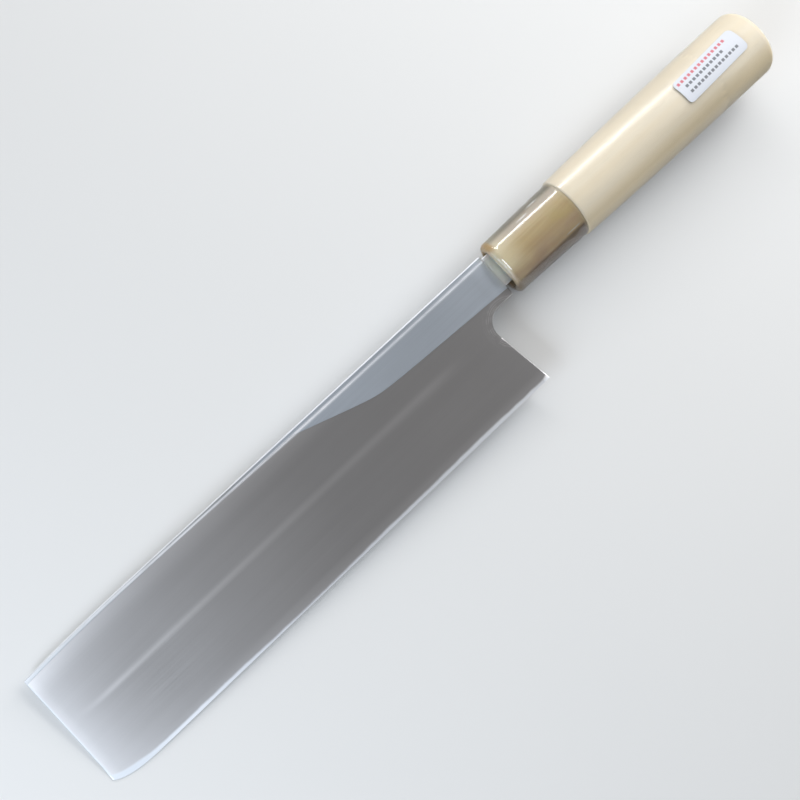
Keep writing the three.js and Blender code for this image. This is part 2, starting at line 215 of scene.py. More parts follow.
def clean_mesh(name, points, faces):
    """A mesh of points in the knife's frame, with doubled points merged."""
    made = bmesh.new()
    corners = [made.verts.new(p) for p in points]
    for face in faces:
        made.faces.new([corners[i] for i in face])
    bmesh.ops.remove_doubles(made, verts=made.verts, dist=MERGE_DISTANCE)
    bmesh.ops.dissolve_degenerate(made, edges=made.edges, dist=MERGE_DISTANCE)
    bmesh.ops.recalc_face_normals(made, faces=made.faces)
    mesh = bpy.data.meshes.new(name)
    made.to_mesh(mesh)
    made.free()
    return mesh


def add_piece(mesh, material, node, sharp=35):
    """Shows a mesh in place of a CAD node, with the finish of that slot, and notes its points' places."""
    place = mesh.attributes.new(PLACE, "FLOAT_VECTOR", "POINT")
    place.data.foreach_set("vector", [c for v in mesh.vertices for c in v.co])
    mesh.transform(REST)
    mesh.shade_smooth()
    mesh.set_sharp_from_angle(angle=math.radians(sharp))
    mesh.materials.append(material)
    piece = bpy.data.objects.new(mesh.name, mesh)
    bpy.context.scene.collection.objects.link(piece)
    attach(piece, "root")
    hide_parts(node)


def skin(rings, is_loop=False):
    """Points and faces of a skin through rings of equal length, closed at its ends or by joining them."""
    sides = len(rings[0])
    points = [p for ring in rings for p in ring]
    faces = []
    for r in range(len(rings) if is_loop else len(rings) - 1):
        near, far = r * sides, (r + 1) % len(rings) * sides
        for i in range(sides):
            after = (i + 1) % sides
            faces.append((near + i, near + after, far + after, far + i))
    if not is_loop:
        faces += [range(sides), range(len(points) - sides, len(points))]
    return points, faces


def slab(columns, is_cell):
    """A solid between an upper and a lower sheet. A column is a list of (x, y, upper z, lower z), and the
    sheets have a face at each cell of columns and rows where is_cell says so, and walls around them."""
    rows = len(columns[0])
    points = [(x, y, top) for column in columns for x, y, top, low in column]
    lower = len(points)
    points += [(x, y, low) for column in columns for x, y, top, low in column]
    faces, rim = [], set()
    for c in range(len(columns) - 1):
        for r in range(rows - 1):
            if is_cell(c, r):
                a = c * rows + r
                loop = (a, a + rows, a + rows + 1, a + 1)
                faces += [loop, tuple(i + lower for i in reversed(loop))]
                for start, end in zip(loop, loop[1:] + loop[:1]):
                    rim ^= {(min(start, end), max(start, end))}
    faces += [(a, b, b + lower, a + lower) for a, b in sorted(rim)]
    return points, faces


# Curves of the blade along x


def edge_at(x):
    spare = SWEEP_LENGTH - 2 * SWEEP_BEND
    reach = (math.sqrt(SWEEP_BEND**2 + spare * max(0, x)) - SWEEP_BEND) / spare
    return SWEEP_RISE * max(0, 1 - reach) ** 2


def spine_at(x):
    drop = SPINE_DROP * max(0, 1 - x / SPINE_DROP_LENGTH) ** 2
    return lerp(TIP_HEIGHT, HEEL_HEIGHT, x / EDGE_LENGTH) - drop


def thickness_at(x):
    return lerp(TIP_THICKNESS, NECK_THICKNESS, x / SHOULDER_X)


def steel_at(x):
    return lerp(STEEL_TIP_THICKNESS, STEEL_NECK_THICKNESS, x / SHOULDER_X)


def land_at(x):
    """Upper border of the hollow."""
    start = EDGE_LENGTH - LAND_LENGTH
    knee = EDGE_LENGTH - LAND_KNEE
    slant = lerp(SPINE_RIM, LAND_KNEE_HEIGHT, (x - start) / (knee - start))
    along = lerp(LAND_KNEE_HEIGHT, LAND_NECK_HEIGHT, (x - knee) / (SHOULDER_X - knee))
    blended = (slant + along - math.hypot(slant - along, LAND_KNEE_BLEND)) / 2
    return spine_at(x) - max(SPINE_RIM, blended)


def weld_at(x, gap):
    """Where the weld between the two metals comes out on the bevel."""
    share = (steel_at(x) + gap - EDGE_THICKNESS) / (thickness_at(x) - EDGE_THICKNESS)
    return lerp(edge_at(x), BEVEL_HEIGHT, share)


def top_at(x, y):
    """Height of the hollow side."""
    low, high = edge_at(x) + EDGE_RIM, land_at(x)
    start = TIP_RIM + TIP_LEAN
    depth = (high - low) ** 2 / (8 * HOLLOW_RADIUS) * smooth(x, start, start + HOLLOW_RUNOUT)
    across = 2 * (y - low) / (high - low) - 1
    hollow = depth * max(0, 1 - across * across)
    return -hollow - max(0, y - spine_at(x) + SPINE_CHAMFER)


def low_at(x, y):
    """Height of the bevelled side."""
    edge, back = edge_at(x), thickness_at(x)
    share = min(1, (y - edge) / (BEVEL_HEIGHT - edge))
    return -lerp(EDGE_THICKNESS, back, share) + max(0, y - spine_at(x) + SPINE_CHAMFER)


def tip_x(y):
    return TIP_LEAN * y / TIP_HEIGHT


def heel_x(y):
    return EDGE_LENGTH - y * math.tan(HEEL_LEAN)


def neck_line():
    """The blade's border from the heel round the choil and along the neck to the shoulder."""
    turns = steps(math.pi + HEEL_LEAN, math.pi / 2, count=18)
    line = [(CHOIL_X + CHOIL_RADIUS * math.cos(a), CHOIL_Y + CHOIL_RADIUS * math.sin(a)) for a in turns]
    straight = SHOULDER_X - SHOULDER_RADIUS
    line += [(x, NECK_Y) for x in steps(CHOIL_X, straight, count=6)[1:]]
    chamfer_turn = math.asin(1 - EASED_EDGE / SHOULDER_RADIUS)
    turns = steps(0, chamfer_turn, count=4)[1:] + steps(chamfer_turn, math.pi / 2, count=4)[1:]
    for a in turns:
        line.append((straight + SHOULDER_RADIUS * math.sin(a), NECK_Y + SHOULDER_RADIUS * (1 - math.cos(a))))
    return line


def blade_rows(gap):
    """Rows of the blade's grid as heights along x, with the numbers of the weld, choil and land rows."""
    bounds = [
        # name, height along x, and how many rows there are from there to the next, which may be a wall
        ("edge", edge_at, 1),
        ("rim", lambda x: edge_at(x) + EDGE_RIM, 8),
        ("weld", lambda x: weld_at(x, gap), 11),
        ("choil", lambda x: HEEL_END_Y, 1),
        ("neck", lambda x: CHOIL_Y, 3),
        ("bevel", lambda x: BEVEL_HEIGHT, 7),
        ("land", lambda x: land_at(x) + gap, 1),
        ("wall", lambda x: land_at(x) + gap, 6),
        ("chamfer", lambda x: spine_at(x) - SPINE_CHAMFER, 1),
        ("spine", spine_at, 0),
    ]
    rows, numbers = [], {}
    for (name, low, count), (_, high, _) in zip(bounds, bounds[1:]):
        numbers[name] = len(rows)
        for k in range(count):
            rows.append(lambda x, low=low, high=high, share=k / count: lerp(low(x), high(x), share))
    rows.append(spine_at)
    return rows, [numbers[name] for name in ("weld", "choil", "land")]


def settle_row(row, across):
    """The point of a row on a line that leans between the tip and the heel or the shoulder."""
    x = 0
    for _ in range(SETTLING_ROUNDS):
        y = row(x)
        x = across(y)
    return x, row(x)


def blade_grid(gap):
    """Columns of (x, y) for blade and neck, the first neck column, and the rows that blade_rows names."""
    rows, (weld, choil, land) = blade_rows(gap)
    near_tip = [SWEEP_LENGTH * (k / TIP_COLUMNS) ** TIP_CROWDING for k in range(2, TIP_COLUMNS + 1)]
    straight = steps(SWEEP_LENGTH, EDGE_LENGTH - EASED_EDGE, BLADE_COLUMNS)[1:]
    columns = []
    for place in [0, EASED_EDGE, *near_tip, *straight, EDGE_LENGTH]:
        share = place / EDGE_LENGTH

        def on_blade(y):
            return lerp(tip_x(y), heel_x(y), share)

        columns.append([settle_row(row, on_blade) for row in rows])
    neck = len(columns)
    for border_x, border_y in neck_line()[1:]:
        share = (border_x - heel_x(border_y)) / (SHOULDER_X - heel_x(border_y))

        def on_neck(y):
            return lerp(heel_x(y), SHOULDER_X, share)

        round_x = max(0, border_x - SHOULDER_X + SHOULDER_RADIUS)
        rounding = SHOULDER_RADIUS - math.sqrt(SHOULDER_RADIUS**2 - round_x**2)
        ceiling = spine_at(SHOULDER_X) - rounding
        column = []
        for r, row in enumerate(rows):
            y = border_y
            if r > choil:
                y = min(max(settle_row(row, on_neck)[1], border_y + EASED_EDGE), ceiling)
            column.append((on_neck(y), y))
        columns.append(column)
    return columns, neck, weld, choil, land


def eased_at(x, y, c, r, neck, choil, thickness):
    """How far the fine chamfer takes back a point of the grid. It runs out where heel and choil meet."""
    depth = max(0, EASED_EDGE - SHOULDER_X + x)
    if c == 0:
        depth = EASED_EDGE
    elif c >= neck - 1 and r <= choil:
        depth = EASED_EDGE * smooth(abs(y - HEEL_END_Y), 0, EASED_RUNOUT)
    return min(depth, EASED_SHARE * thickness)


def steel_mesh():
    """The hard layer: the hollow with its rims above, the polished edge of the bevel and the weld below."""
    columns, neck, weld, choil, land = blade_grid(0)
    solid = []
    for c, column in enumerate(columns):
        line = []
        for r, (x, y) in enumerate(column[: land + 1]):
            top, low = top_at(x, y), max(low_at(x, y), -steel_at(x))
            ease = eased_at(x, y, c, r, neck, choil, top - low)
            line.append((x, y, top - ease, low + (ease if r <= weld else 0)))
        solid.append(line)
    return clean_mesh("hollow_ground_steel", *slab(solid, lambda c, r: c < neck - 1 or r >= choil))


def iron_mesh():
    """The soft body without its tang: the land, the spine and the neck, and the flat and the bevel below."""
    columns, neck, weld, choil, land = blade_grid(WELD_GAP)
    solid = []
    for c, column in enumerate(columns):
        line = []
        for r, (x, y) in enumerate(column[weld:], start=weld):
            top, low = top_at(x, y), low_at(x, y)
            if r <= land:
                top = min(-steel_at(x) - WELD_GAP, top)
            ease = eased_at(x, y, c, r, neck, choil, top - low)
            line.append((x, y, top - (ease if r > land else 0), low + (ease if r > weld else 0)))
        solid.append(line)
    return clean_mesh("iron_body", *slab(solid, lambda c, r: c < neck - 1 or r + weld >= choil))


def tang_mesh():
    """The tang with chamfered corners, sloping down from the land where it leaves the neck."""
    root_y = AXIS_Y + TANG_SHIFT
    end_x = SHOULDER_X + TANG_LENGTH

    def box(x, middle, width, height, lift=0):
        half_width, half_height = width / 2, height / 2
        across, up = half_width - TANG_CHAMFER, half_height - TANG_CHAMFER
        corners = [(across, half_height), (half_width, up), (half_width, -up), (across, -half_height)]
        corners += [(-y, z) for y, z in reversed(corners)]
        return [(x, middle + y, AXIS_Z + z + (lift if z > 0 else 0)) for y, z in corners]

    def root(x, lift=0):
        return box(x, root_y, TANG_WIDTH, TANG_THICKNESS, lift)

    step = NECK_THICKNESS / 2 - TANG_THICKNESS / 2 - EASED_EDGE / 2
    rings = [
        root(SHOULDER_X - TANG_ROOT),
        root(SHOULDER_X - TANG_CHAMFER, step),
        root(SHOULDER_X + TANG_CHAMFER, step),
        root(SHOULDER_X + 3 * TANG_CHAMFER),
        root(FRONT_X),
        box(end_x, axis_at(end_x), TANG_TIP_WIDTH, TANG_TIP_THICKNESS),
    ]
    return clean_mesh("tang", *skin(rings))


def joined(first, second):
    """One mesh from two solids that overlap."""
    base, other = [bpy.data.objects.new(m.name, m) for m in (first, second)]
    for o in (base, other):
        bpy.context.scene.collection.objects.link(o)
    union = base.modifiers.new("union", "BOOLEAN")
    union.operation = "UNION"
    union.solver = "EXACT"
    union.object = other
    depsgraph = bpy.context.evaluated_depsgraph_get()
    mesh = bpy.data.meshes.new_from_object(base.evaluated_get(depsgraph))
    for o in (base, other):
        bpy.data.objects.remove(o)
    mesh.name = first.name
    return mesh


# Handle


def axis_at(x):
    return AXIS_Y - HANDLE_LEAN * (x - JOINT_X)


def handle_size(x):
    if x < JOINT_X:
        share = max(0, (x - FRONT_X) / FERRULE_LENGTH)
        return [lerp(a, b - 2 * HORN_STEP, share) for a, b in zip(FRONT_SIZE, JOINT_SIZE)]
    share = min(1, (x - JOINT_X) / GRIP_LENGTH)
    swell = 4 * GRIP_SWELL * share * (1 - share)
    return [lerp(a, b, share) + swell for a, b in zip(JOINT_SIZE, BUTT_SIZE)]


def angles():
    return [2 * math.pi * (i + 0.5) / OVAL_SIDES for i in range(OVAL_SIDES)]


def oval(x, size, ridge=0, grow=None):
    """A ring round the handle's axis, from the spine side over the top. grow gives what an angle adds."""
    ring = []
    for angle in angles():
        below = 2 * math.pi - angle
        lift = grow(angle) if grow else 0
        if below < math.pi:
            lift += ridge * max(0, 1 - math.hypot(below - RIDGE_ANGLE, RIDGE_EASE) / RIDGE_SPREAD)
        y = axis_at(x) + (size[0] / 2 + lift) * math.cos(angle)
        ring.append((x, y, AXIS_Z + (size[1] / 2 + lift) * math.sin(angle)))
    return ring


def box_ring(x, middle, width, height):
    """A rectangular ring with as many points as an oval."""
    ring = []
    for angle in angles():
        across, up = math.cos(angle), math.sin(angle)
        reach = 1 / max(abs(across), abs(up))
        ring.append((x, middle + across * reach * width / 2, AXIS_Z + up * reach * height / 2))
    return ring


def slot_ring(x, size):
    """A ring of the mouth: a slot with round ends."""
    radius = size[1] / 2
    straight = size[0] / 2 - radius
    ring = []
    for angle in angles():
        side = math.copysign(straight, math.cos(angle))
        y = axis_at(FRONT_X) + side + radius * math.cos(angle)
        ring.append((x, y, AXIS_Z + radius * math.sin(angle)))
    return ring


def handle_ring(x, distance, grow=None):
    size = [s + 2 * distance for s in handle_size(x)]
    return oval(x, size, RIDGE_HEIGHT, grow)


def end_round(middle, radius, way, distance, count):
    """(x, distance from the handle's side) from that side round to an end of the handle."""
    reach = radius + distance
    turns = steps(0, math.pi / 2, count)
    return [(middle + way * reach * math.sin(t), reach * math.cos(t) - radius) for t in turns]


def front_round(distance):
    return end_round(FRONT_X + FRONT_RADIUS, FRONT_RADIUS, -1, distance, count=8)[::-1]


def butt_round(distance):
    return end_round(BUTT_X - BUTT_RADIUS, BUTT_RADIUS, 1, distance, count=10)


def ferrule_mesh():
    """The horn: outside, step to the grip, bore for the tenon and mouth for the tang, as one closed skin."""
    end_x = JOINT_X - GLUE_GAP
    rings = [handle_ring(x, d) for x, d in front_round(0)]
    rings += [handle_ring(x, 0) for x in steps(FRONT_X + FRONT_RADIUS, end_x, count=10)[1:]]
    bore = [s + 2 * GLUE_GAP for s in TENON_SIZE]
    rings += [oval(x, bore) for x in (end_x, FRONT_X + FRONT_WALL)]
    rings += [slot_ring(FRONT_X + depth, MOUTH_SIZE) for depth in (FRONT_WALL, MOUTH_FLARE_DEPTH)]
    rings.append(slot_ring(FRONT_X, [s + MOUTH_FLARE for s in MOUTH_SIZE]))
    return clean_mesh("blond_horn_ferrule", *skin(rings, is_loop=True))


GRIP_EASE_STEPS = ((0, 1), (0.13, 0.5), (0.5, 0.13), (1, 0))  # shares of the rounding, back and inwards
DOME_STEPS = (0.75, 0.5, 0.25, 0.04)  # shares of the butt's flat size


def grip_mesh():
    """The wood: socket for the tang, tenon, sides and rounded butt."""
    tenon_x = FRONT_X + FRONT_WALL + GLUE_GAP
    end_x = SHOULDER_X + TANG_LENGTH + SOCKET_CLEARANCE

    def socket(x):
        share = (x - FRONT_X) / (end_x - FRONT_X)
        width = lerp(TANG_WIDTH, TANG_TIP_WIDTH, share) + 2 * SOCKET_CLEARANCE
        height = lerp(TANG_THICKNESS, TANG_TIP_THICKNESS, share) + 2 * SOCKET_CLEARANCE
        return box_ring(x, lerp(AXIS_Y + TANG_SHIFT, axis_at(end_x), share), width, height)

    rings = [socket(end_x), socket(tenon_x), oval(tenon_x, TENON_SIZE), oval(JOINT_X, TENON_SIZE)]
    for back, down in GRIP_EASE_STEPS:
        rings.append(handle_ring(JOINT_X + back * GRIP_EASE, -down * GRIP_EASE))
    rings += [handle_ring(x, 0) for x in steps(JOINT_X, BUTT_X - BUTT_RADIUS, HANDLE_RINGS)[1:-1]]
    flat = BUTT_X - BUTT_DOME
    rings += [handle_ring(min(x, flat), d) for x, d in butt_round(0)]
    inner = [s - 2 * BUTT_RADIUS for s in BUTT_SIZE]
    for share in DOME_STEPS:
        rings.append(oval(flat + BUTT_DOME * (1 - share * share), [s * share for s in inner]))
    return clean_mesh("magnolia_grip", *skin(rings))


# Film: it follows the handle with shallow folds, gathers round the ferrule's front and turns in at both ends.
FOLDS = (
    # angle from the spine side in degrees, half width in degrees, from x, to x, height
    (30, 4, FRONT_X + 13, FRONT_X + 19, 0.26),
    (27, 4, FRONT_X + 19, FRONT_X + 26, 0.24),
    (144, 3, JOINT_X - 10, JOINT_X - 3, 0.26),
    (118, 5, FRONT_X + 5, JOINT_X - 2, 0.06),
    (-30, 6, FRONT_X + 2, JOINT_X - 6, 0.10),
    (200, 5, FRONT_X + 4, JOINT_X + 12, 0.10),
)
FOLD_RUN = 4  # a fold rises and falls over this length
GATHER_HEIGHT = 0.16
GATHER_REACH = 7  # the gathers die out this far behind the front
GATHERS_ROUND = 4  # cells of noise in a radian
GATHERS_ALONG = 0.4  # and in a millimetre
BEAD_HEIGHT = 0.16
BEAD_PLACE = (1.3, 0.7)  # middle and spread behind the front
DIP_DEPTH = 0.05
DIP_PLACE = (3.2, 0.9)
BULGE_HEIGHT = 0.35
BULGE_PLACE = (1.8, 1.6)
BULGE_ANGLE = math.radians(12)
BULGE_SPREAD = 0.5
OFF_THE_TABLE = (-0.7, 0.1)  # sines of the angles between which gathers, bead and bulge set in
BORDER_HEIGHT = 0.5  # the border of the front opening is uneven
BORDER_LEAST = -0.1
BORDER_NOISE = (1.7, 4.2)
CURL_HEIGHT = 0.3  # that border curls forward
CURL_PLACE = (0.93, 0.1)  # middle and spread as shares of the way in to the border
LIP_STEPS = (1, 0.93, 0.86, 0.7, 0.5, 0.25)
PUCKER_HEIGHT = 0.3
PUCKER_NOISE = (4, 1.3)


def noise_round(angle, waves, at):
    """Noise that closes round the handle, with so many cells in a radian, from a slice of noise in space."""
    return noise.noise((waves * math.cos(angle), waves * math.sin(angle), at))


def film_swell(x, angle):
    """How far the film stands off its even distance."""
    turned = (math.degrees(angle) + 90) % 360 - 90
    folds = 0
    for middle, spread, start, end, height in FOLDS:
        along = smooth(x, start, start + FOLD_RUN) * (1 - smooth(x, end - FOLD_RUN, end))
        folds += height * along * hump(turned, middle, spread)
    behind = x - FRONT_X
    gathered = 1 - smooth(behind, 0, GATHER_REACH)
    gathers = GATHER_HEIGHT * gathered * noise_round(angle, GATHERS_ROUND, GATHERS_ALONG * x)
    bead = BEAD_HEIGHT * hump(behind, *BEAD_PLACE) - DIP_DEPTH * hump(behind, *DIP_PLACE)
    near = math.remainder(angle - BULGE_ANGLE, 2 * math.pi)
    bulge = BULGE_HEIGHT * hump(near, 0, BULGE_SPREAD) * hump(behind, *BULGE_PLACE)
    return folds + smooth(math.sin(angle), *OFF_THE_TABLE) * (gathers + bead + bulge)


def film_mesh():
    """The film as one closed skin, from its front opening along the handle and in over the butt."""
    opening = [s + 2 * FILM_MOUTH_MARGIN for s in MOUTH_SIZE]

    def uneven(angle):
        return BORDER_HEIGHT * max(BORDER_LEAST, noise_round(angle, *BORDER_NOISE))

    def pucker(angle):
        return PUCKER_HEIGHT * abs(noise_round(angle, *PUCKER_NOISE))

    def side(distance):
        def ring(x, away):
            return handle_ring(x, away, lambda a: film_swell(x, a))

        front_x = FRONT_X - distance
        outer = ring(front_x, -FRONT_RADIUS)
        inner = oval(front_x, opening, grow=uneven)
        rings = []
        for share in LIP_STEPS:
            curl = CURL_HEIGHT * hump(share, *CURL_PLACE)
            lip = []
            for angle, far, near in zip(angles(), outer, inner):
                x, y, z = [lerp(a, b, share) for a, b in zip(far, near)]
                lip.append((x - curl - pucker(angle) * share, y, z))
            rings.append(lip)
        rings += [ring(x, d) for x, d in front_round(distance)]
        places = steps(FRONT_X + FRONT_RADIUS, JOINT_X - FILM_STEP, HANDLE_RINGS)[1:]
        places += steps(JOINT_X, JOINT_X + FILM_STEP, count=2)
        places += steps(JOINT_X, BUTT_X - BUTT_RADIUS, HANDLE_RINGS)[1:-1]
        rings += [ring(x, distance) for x in places]
        rings += [ring(x, d) for x, d in butt_round(distance)]
        rings.append(handle_ring(BUTT_X + distance, -BUTT_RADIUS - FILM_BUTT_LIP))
        return rings

    rings = side(FILM_CLEARANCE + FILM_THICKNESS) + side(FILM_CLEARANCE)[::-1]
    return clean_mesh("film_wrap", *skin(rings, is_loop=True))


def label_mesh():
    """A thin patch with round corners, bent over the film and set a little askew."""
    turns = steps(0, math.pi / 2, count=8)
    end = [(LABEL_CORNER * (1 - math.cos(t)), LABEL_CORNER * (1 - math.sin(t))) for t in turns]
    reach = LABEL_SIZE[0] / 2
    stations = [(back - reach, inset) for back, inset in end]
    stations += [(along, 0) for along in steps(LABEL_CORNER - reach, reach - LABEL_CORNER, count=12)[1:-1]]
    stations += [(reach - back, inset) for back, inset in reversed(end)]
    columns = []
    for along, inset in stations:
        half = LABEL_SIZE[1] / 2 - inset
        column = []
        for across in steps(-half, half, count=20):
            x = LABEL_X + along * math.cos(LABEL_TURN) - across * math.sin(LABEL_TURN)
            offset = LABEL_SHIFT + along * math.sin(LABEL_TURN) + across * math.cos(LABEL_TURN)
            width, height = handle_size(x)
            angle = math.acos(offset / (width / 2))
            y = axis_at(x) + (width / 2 + LABEL_LIFT) * math.cos(angle)
            z = AXIS_Z + (height / 2 + LABEL_LIFT) * math.sin(angle)
            column.append((x, y, z + LABEL_THICKNESS, z))
        columns.append(column)
    return clean_mesh("blank_label", *slab(columns, lambda c, r: True))


# Finishes

# A soft step is (from, to, value at the first, value at the second), and goes from 0 to 1 without values.

ACROSS_KNIFE = 300  # cells so wide that a noise hardly changes across the knife


def operation(name):
    return lambda self, other: self.nodes.math(name, self, other)


class Value:
    """What an output of a node gives, so that sums with it can be written plainly."""

    def __init__(self, nodes, socket):
        self.nodes = nodes
        self.socket = socket

    __add__ = __radd__ = operation("ADD")
    __sub__ = operation("SUBTRACT")
    __mul__ = operation("MULTIPLY")
    __truediv__ = operation("DIVIDE")

    def __rsub__(self, other):
        return self.nodes.math("SUBTRACT", other, self)

    def __abs__(self):
        return self.nodes.math("ABSOLUTE", self)


class Nodes:
    """A node tree with short calls for the nodes that the finishes and the room share."""

    def __init__(self, tree):
        self.tree = tree

    def node(self, kind, output, inputs=None, **settings):
        """One output of a new node with these inputs and settings."""
        made = self.tree.nodes.new("ShaderNode" + kind)
        for name, value in settings.items():
            setattr(made, name, value)
        for socket, value in (inputs or {}).items():
            self.feed(made.inputs[socket], value)
        return Value(self, made.outputs[output])

    def feed(self, socket, value):
        if isinstance(value, Value):
            self.tree.links.new(value.socket, socket)
        else:
            socket.default_value = value

    def math(self, operation, a, b=0.0):
        return self.node("Math", 0, {0: a, 1: b}, operation=operation)

    def most(self, first, *others):
        """The greatest of some values."""
        for other in others:
            first = self.math("MAXIMUM", first, other)
        return first

    def band(self, value, low, high, start=0.0, end=1.0):
        """A soft step from start to end as value goes from low to high."""
        inputs = {"Value": value, 1: low, 2: high, 3: start, 4: end}
        return self.node("MapRange", 0, inputs, interpolation_type="SMOOTHSTEP")

    def line(self, value, middle, half_width):
        """1 at the middle of a soft line, 0 beyond half its width."""
        return self.band(abs(value - middle), 0, half_width, 1, 0)

    def pick(self, share, a, b):
        """A number between two."""
        return self.node("Mix", 0, {0: share, 2: a, 3: b}, data_type="FLOAT")

    def blend(self, share, a, b):
        """A colour between two."""
        return self.node("Mix", 2, {0: share, 6: a, 7: b}, data_type="RGBA")

    def tint(self, colour, value):
        """A colour made lighter or darker by a value around 1."""
        vector = colour if isinstance(colour, Value) else colour[:3]
        return self.node("VectorMath", 0, {0: vector, 3: value}, operation="SCALE")

    def bump(self, height, distance, normal=None):
        """A normal turned by the slope of a height, of which 1 is that many millimetres."""
        inputs = {"Height": height, "Distance": distance * MM, "Strength": 1}
        if normal:
            inputs["Normal"] = normal
        return self.node("Bump", 0, inputs)


class Finish(Nodes):
    """A material with x, y and place in the knife's frame, and up for how far a face's normal points up."""

    def __init__(self, name, **plain):
        self.material = bpy.data.materials.new(name)
        self.material.use_nodes = True
        super().__init__(self.material.node_tree)
        self.shader = self.tree.nodes["Principled BSDF"]
        self.drive(**plain)
        self.place = self.node("Attribute", "Vector", attribute_name=PLACE)
        self.x, self.y = [self.node("SeparateXYZ", axis, {0: self.place}) for axis in "XY"]
        normal = self.node("TexCoord", "Normal")
        self.up = self.node("SeparateXYZ", "Z", {0: normal})

    def drive(self, **sockets):
        """Sets inputs of the shader, named with an underscore for each space."""
        for name, value in sockets.items():
            self.feed(self.shader.inputs[name.replace("_", " ")], value)

    def noise(self, cells, detail=2, roughness=0.5, distortion=0):
        """Noise with cells of that size in millimetres along x, y and z."""
        place = self.node("VectorMath", 0, {0: self.place, 1: cells}, operation="DIVIDE")
        inputs = {"Vector": place, "Scale": 1, "Detail": detail, "Roughness": roughness}
        return self.node("TexNoise", 0, {**inputs, "Distortion": distortion})

    def noise_along(self, cell, detail=2):
        return self.noise((cell, ACROSS_KNIFE, ACROSS_KNIFE), detail)


def rgb(red, green, blue):
    """A colour given as it looks on a screen, from 0 to 255, as linear numbers."""
    linear = [c / 255 / 12.92 if c <= 10 else ((c / 255 + 0.055) / 1.055) ** 2.4 for c in (red, green, blue)]
    return (*linear, 1.0)


# Finishes of the blade, whose distances follow its curves

UPPER_FACES = (0.2, 0.6)
LOWER_FACES = (-0.6, -0.2, 1, 0)
EASED_FACES = (0.88, 0.97, 1, 0)


def edge_distance(f):
    spare = SWEEP_LENGTH - 2 * SWEEP_BEND
    root = f.math("SQRT", f.most(f.x, 0) * spare + SWEEP_BEND**2)
    left = f.most(1 - (root - SWEEP_BEND) / spare, 0)
    return f.y - left * left * SWEEP_RISE


def spine_distance(f):
    drop = f.most(1 - f.x / SPINE_DROP_LENGTH, 0)
    slope = (HEEL_HEIGHT - TIP_HEIGHT) / EDGE_LENGTH
    return f.x * slope + TIP_HEIGHT - drop * drop * SPINE_DROP - f.y


def tip_distance(f):
    return f.x - f.y * (TIP_LEAN / TIP_HEIGHT)


# A painted highlight along the spine, above where the land falls off towards it:
SPINE_LINE_DISTANCE = (30, 160, 1.0, 2.2)  # from the spine, along x
SPINE_LINE_HALF_WIDTH = (100, 140, 0.8, 1.2)
SPINE_LINE_START = (5, 40, 0.4, 1)
SPINE_LINE_END = (140, 165, 1, 0.6)
SPINE_LINE_PATCHES = (0.25, 0.6, 0.75, 1)
SPINE_WEAR = 0.24  # how far the land falls off towards the spine across that line
SPINE_WEAR_HALF_WIDTH = 0.5


def spine_line(f):
    """A painted highlight along the spine that moves away from it and grows fainter towards the neck, and the
    height across it as a share, which is negative beyond it."""
    strength = f.band(f.x, *SPINE_LINE_START) * f.band(f.x, *SPINE_LINE_END)
    strength *= f.band(f.noise_along(9), *SPINE_LINE_PATCHES)
    across = spine_distance(f) - f.band(f.x, *SPINE_LINE_DISTANCE)
    bright = f.line(across, 0, f.band(f.x, *SPINE_LINE_HALF_WIDTH))
    height = f.band(across, -SPINE_WEAR_HALF_WIDTH, SPINE_WEAR_HALF_WIDTH, -1, 0)
    return bright * strength, height * strength


# A painted highlight along the hollow, standing for light on a low ridge that the mesh does not have:
STREAK_HEIGHTS = (27.5, 27.0)  # above the edge at the tip and at the heel, where two passes of the grind meet
STREAK_HALF_WIDTHS = (1.6, 3.0)
STREAK_START = (5, 27)
STREAK_END = (174, 196, 1, 0)
STREAK_TONE = (30, 130, 0.36, 0.2)


def painted_streak_highlight(f, from_edge):
    """A painted highlight: a faint lighter line along the hollow that widens towards the heel and dies out
    before both ends.
    """
    share = f.x / EDGE_LENGTH
    line = f.line(from_edge, f.pick(share, *STREAK_HEIGHTS), f.pick(share, *STREAK_HALF_WIDTHS))
    reach = f.band(f.x, *STREAK_START) * f.band(f.x, *STREAK_END)
    return line * reach * f.band(f.x, *STREAK_TONE)


RIM_WANDER = 0.7
RIM_LEAST = EDGE_RIM - 0.5
RIM_BORDER = (-0.6, 0.5, 1, 0)
RIM_CHANGES = (
    # middle and half width along x, and how much wider the lapped rim is there
    (0, 28, 1.1),
    (92, 45, -0.6),
    (176, 25, 0.3),
)


def lapped_rim(f, from_edge):
    """The bright rim along the edge, lapped by hand, so its width changes."""
    width = f.noise_along(7, detail=3) * RIM_WANDER + RIM_LEAST
    for middle, half_width, wider in RIM_CHANGES:
        width += f.line(f.x, middle, half_width) * wider
    return f.band(from_edge - width, *RIM_BORDER)


ARC_SCALE = 3.2  # cells of noise for each millimetre
ARC_LINES = (0.5, 0.6)
ARC_BREAKS = (0.36, 0.54)
ARC_REACH = (CHOIL_RADIUS + 1.5, CHOIL_RADIUS + 4.5, 1, 0)


def choil_scratches(f):
    """Fine arcs round the choil, where it was filed."""
    across = f.x - CHOIL_X
    along = f.y - CHOIL_Y
    radius = f.math("SQRT", across * across + along * along)
    inputs = {"W": radius, "Scale": ARC_SCALE, "Detail": 2}
    arcs = f.node("TexNoise", 0, inputs, noise_dimensions="1D")
    broken = f.band(f.noise((3, 3, 3)), *ARC_BREAKS)
    return f.band(arcs, *ARC_LINES) * broken * f.band(radius, *ARC_REACH)


# Where along x, and how far up from the edge, the painted highlight on the heel's eased chamfer reaches:
HEEL_HALF = (100, 180)  # along x
HEEL_HIGHLIGHT_REACH = (4, 22, 0.45, 0)  # up from the edge
TIP_LAP = (0.1, 1.3, 1, 0)  # from the tip
NICKS = (0.74, 0.8)
NICK_REACH = (2, 4.5, 0.7, 0)  # from the edge

